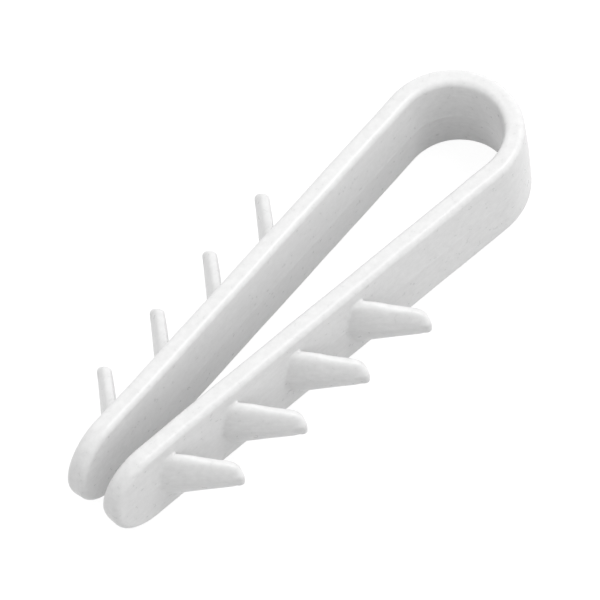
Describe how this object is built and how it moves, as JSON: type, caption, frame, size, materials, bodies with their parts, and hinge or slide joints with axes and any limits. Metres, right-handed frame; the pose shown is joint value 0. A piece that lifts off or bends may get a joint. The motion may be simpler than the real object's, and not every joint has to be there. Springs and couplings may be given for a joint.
{
  "type": "wall anchor cable clip",
  "caption": "Barbed wall anchor moulded as one bent plastic strip: its loop holds a round cable and its two legs press into a drilled hole, where the barbs grip.",
  "frame": {"origin": "centre of the cable loop at the middle of the strip's width", "axes": "+X towards the closed end of the bow, with the leg tips at -X; +Y towards the left leg; +Z along the cable, across the strip"},
  "size_m": [0.0336, 0.0136, 0.0058],
  "materials": {
    "moulded_plastic": "satin moulded white"
  },
  "bodies": {
    "bow": {"bow": "moulded_plastic"},
    "left_leg": {"left_leg": "moulded_plastic"},
    "left_barb_1": {"left_barb_1": "moulded_plastic"},
    "left_barb_2": {"left_barb_2": "moulded_plastic"},
    "left_barb_3": {"left_barb_3": "moulded_plastic"},
    "left_barb_4": {"left_barb_4": "moulded_plastic"},
    "right_leg": {"right_leg": "moulded_plastic"},
    "right_barb_1": {"right_barb_1": "moulded_plastic"},
    "right_barb_2": {"right_barb_2": "moulded_plastic"},
    "right_barb_3": {"right_barb_3": "moulded_plastic"},
    "right_barb_4": {"right_barb_4": "moulded_plastic"}
  },
  "joints": [
    {"name": "left_leg_flex", "type": "hinge", "parent": "bow", "child": "left_leg", "pos_m": [-0.00029, 0.00358, 0], "axis": [0, 0, -1], "range_deg": [-1.2, 8], "stiffness_Nm_per_rad": 0.28},
    {"name": "left_barb_1_fold", "type": "hinge", "parent": "left_leg", "child": "left_barb_1", "pos_m": [-0.02505, 0.0025, 0], "axis": [0, 0, -1], "range_deg": [0, 30], "stiffness_Nm_per_rad": 0.2},
    {"name": "left_barb_2_fold", "type": "hinge", "parent": "left_leg", "child": "left_barb_2", "pos_m": [-0.02039, 0.00287, 0], "axis": [0, 0, -1], "range_deg": [0, 30], "stiffness_Nm_per_rad": 0.2},
    {"name": "left_barb_3_fold", "type": "hinge", "parent": "left_leg", "child": "left_barb_3", "pos_m": [-0.01574, 0.00325, 0], "axis": [0, 0, -1], "range_deg": [0, 30], "stiffness_Nm_per_rad": 0.2},
    {"name": "left_barb_4_fold", "type": "hinge", "parent": "left_leg", "child": "left_barb_4", "pos_m": [-0.01108, 0.00362, 0], "axis": [0, 0, -1], "range_deg": [0, 30], "stiffness_Nm_per_rad": 0.2},
    {"name": "right_leg_flex", "type": "hinge", "parent": "bow", "child": "right_leg", "pos_m": [-0.00029, -0.00358, 0], "axis": [0, 0, 1], "range_deg": [-1.2, 8], "stiffness_Nm_per_rad": 0.28},
    {"name": "right_barb_1_fold", "type": "hinge", "parent": "right_leg", "child": "right_barb_1", "pos_m": [-0.02505, -0.0025, 0], "axis": [0, 0, 1], "range_deg": [0, 30], "stiffness_Nm_per_rad": 0.2},
    {"name": "right_barb_2_fold", "type": "hinge", "parent": "right_leg", "child": "right_barb_2", "pos_m": [-0.02039, -0.00287, 0], "axis": [0, 0, 1], "range_deg": [0, 30], "stiffness_Nm_per_rad": 0.2},
    {"name": "right_barb_3_fold", "type": "hinge", "parent": "right_leg", "child": "right_barb_3", "pos_m": [-0.01574, -0.00325, 0], "axis": [0, 0, 1], "range_deg": [0, 30], "stiffness_Nm_per_rad": 0.2},
    {"name": "right_barb_4_fold", "type": "hinge", "parent": "right_leg", "child": "right_barb_4", "pos_m": [-0.01108, -0.00362, 0], "axis": [0, 0, 1], "range_deg": [0, 30], "stiffness_Nm_per_rad": 0.2}
  ]
}
